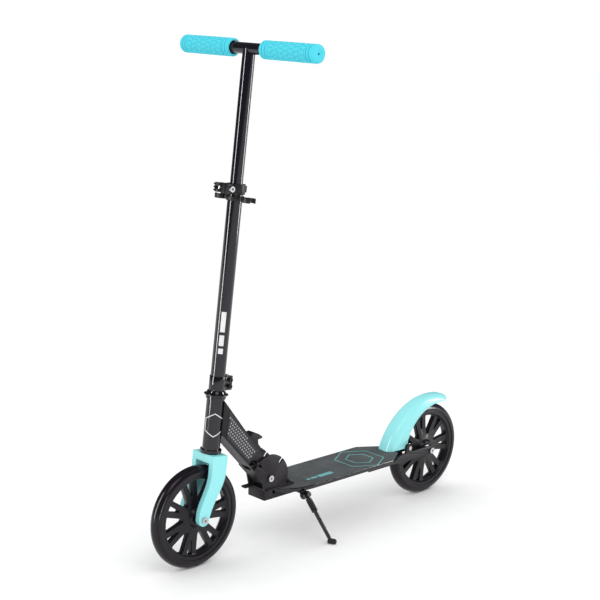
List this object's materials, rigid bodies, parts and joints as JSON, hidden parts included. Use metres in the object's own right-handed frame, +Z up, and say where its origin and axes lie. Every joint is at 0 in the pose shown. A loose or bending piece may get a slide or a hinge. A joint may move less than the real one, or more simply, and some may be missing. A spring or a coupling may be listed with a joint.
{
  "type": "kick scooter",
  "caption": "Folding kick scooter on its side stand, with a flat deck, height-adjustable T handlebar, pull-off grips, fender brake and large spoked wheels.",
  "frame": {"origin": "on the floor, on the line where both tyres touch it, midway between the two axles", "axes": "+X forward in the riding direction, +Y to the rider's left (the side stand's side), +Z up from the floor; the scooter leans 2 degrees towards +Y onto its stand"},
  "size_m": [0.84, 0.3646, 0.9887],
  "materials": {
    "black_paint": "gloss black powder coat",
    "dark_metal": "satin charcoal paint",
    "deck_grip": "fine grit grey coating",
    "turquoise_plastic": "gloss turquoise",
    "turquoise_rubber": "soft turquoise rubber",
    "tyre": "satin polyurethane",
    "rim_plastic": "black moulded nylon",
    "steel": "zinc plated steel",
    "aluminium": "plain",
    "panel_print": "patterned side panel",
    "black_plastic": "moulded black",
    "black_rubber": "black rubber",
    "grey_plastic": "moulded grey"
  },
  "bodies": {
    "deck": {"deck_plate": "black_paint", "grip_sheet": "deck_grip", "front_box": "dark_metal", "fold_bracket": "dark_metal", "bracket_bolts": "steel", "pivot_bolt_set": "steel", "rear_arm_left": "dark_metal", "rear_arm_right": "dark_metal", "rear_axle_set": "steel", "rear_spacers": "aluminium", "fender_bolts": "steel", "brake_springs": "steel", "stand_bracket": "black_paint", "stand_bolt_set": "black_paint"},
    "fender": {"fender": "turquoise_plastic", "brake_pad": "black_rubber"},
    "stand": {"stand_leg": "black_paint", "stand_spring": "black_paint", "stand_foot": "black_rubber"},
    "rear_wheel": {"rear_tyre": "tyre", "rear_rim": "rim_plastic", "rear_bearings": "steel", "rear_sleeve": "aluminium"},
    "stem": {"down_tube": "dark_metal", "side_panel_left": "panel_print", "side_panel_right": "panel_print", "pivot_sleeve": "aluminium", "head_tube": "black_paint", "lower_cup": "black_paint", "upper_cup": "black_paint", "headset_bearings": "steel", "latch_pin": "steel", "latch_spring": "steel"},
    "latch": {"latch_lever": "dark_metal", "lock_pin": "steel"},
    "steering": {"fork": "turquoise_plastic", "steerer": "steel", "lock_cone": "black_paint", "steering_tube": "black_paint", "head_clamp": "black_paint", "head_clamp_bolts": "steel", "height_clamp": "black_plastic", "clamp_skewer": "steel", "cam_pin": "steel", "grip_holder": "black_plastic", "front_axle_set": "steel", "front_spacers": "aluminium"},
    "quick_lever": {"clamp_lever": "black_plastic"},
    "front_wheel": {"front_tyre": "tyre", "front_rim": "rim_plastic", "front_bearings": "steel", "front_sleeve": "aluminium"},
    "handlebar": {"handlebar_tube": "black_paint", "cross_bar": "black_paint"},
    "left_grip": {"grip_left": "turquoise_rubber", "insert_left": "black_plastic"},
    "left_button": {"button_left": "grey_plastic"},
    "right_grip": {"grip_right": "turquoise_rubber", "insert_right": "black_plastic"},
    "right_button": {"button_right": "grey_plastic"}
  },
  "joints": [
    {"name": "rear_wheel_spin", "type": "hinge", "parent": "deck", "child": "rear_wheel", "pos_m": [-0.32, 0.00349, 0.09995], "axis": [0, 0.9994, -0.0349], "continuous": true},
    {"name": "fender_brake", "type": "hinge", "parent": "deck", "child": "fender", "pos_m": [-0.249, 0.00419, 0.11993], "axis": [0, -0.9994, 0.0349], "range_deg": [0, 4.4], "stiffness_Nm_per_rad": 12, "springref_deg": -3.44},
    {"name": "stand_fold", "type": "hinge", "parent": "deck", "child": "stand", "pos_m": [0.084, 0.06106, 0.10094], "axis": [0, 0.9397, 0.342], "range_deg": [0, 71]},
    {"name": "stem_fold", "type": "hinge", "parent": "deck", "child": "stem", "pos_m": [0.15, 0.00499, 0.14292], "axis": [0, -0.9994, 0.0349], "range_deg": [0, 84]},
    {"name": "latch_press", "type": "hinge", "parent": "stem", "child": "latch", "pos_m": [0.18661, 0.00707, 0.20255], "axis": [0, -0.9994, 0.0349], "range_deg": [0, 18], "stiffness_Nm_per_rad": 0.6, "springref_deg": -11.46},
    {"name": "steer", "type": "hinge", "parent": "stem", "child": "steering", "pos_m": [0.29465, 0.00339, 0.0972], "axis": [-0.108, 0.0347, 0.9935], "range_deg": [-90, 90]},
    {"name": "front_wheel_spin", "type": "hinge", "parent": "steering", "child": "front_wheel", "pos_m": [0.32, 0.00349, 0.09995], "axis": [0, 0.9994, -0.0349], "continuous": true},
    {"name": "quick_lever_open", "type": "hinge", "parent": "steering", "child": "quick_lever", "pos_m": [0.24817, 0.00398, 0.71565], "axis": [-0.108, 0.0347, 0.9935], "range_deg": [0, 110]},
    {"name": "bar_height", "type": "slide", "parent": "steering", "child": "handlebar", "axis": [0.108, -0.0347, -0.9935], "range_m": [0, 0.2]},
    {"name": "left_grip_pull", "type": "slide", "parent": "handlebar", "child": "left_grip", "axis": [0, 0.9994, -0.0349], "range_m": [0, 0.03]},
    {"name": "left_button_press", "type": "slide", "parent": "left_grip", "child": "left_button", "axis": [0.108, -0.0347, -0.9935], "range_m": [0, 0.002], "stiffness_N_per_m": 800, "springref_m": -0.002},
    {"name": "right_grip_pull", "type": "slide", "parent": "handlebar", "child": "right_grip", "axis": [0, -0.9994, 0.0349], "range_m": [0, 0.03]},
    {"name": "right_button_press", "type": "slide", "parent": "right_grip", "child": "right_button", "axis": [0.108, -0.0347, -0.9935], "range_m": [0, 0.002], "stiffness_N_per_m": 800, "springref_m": -0.002}
  ]
}
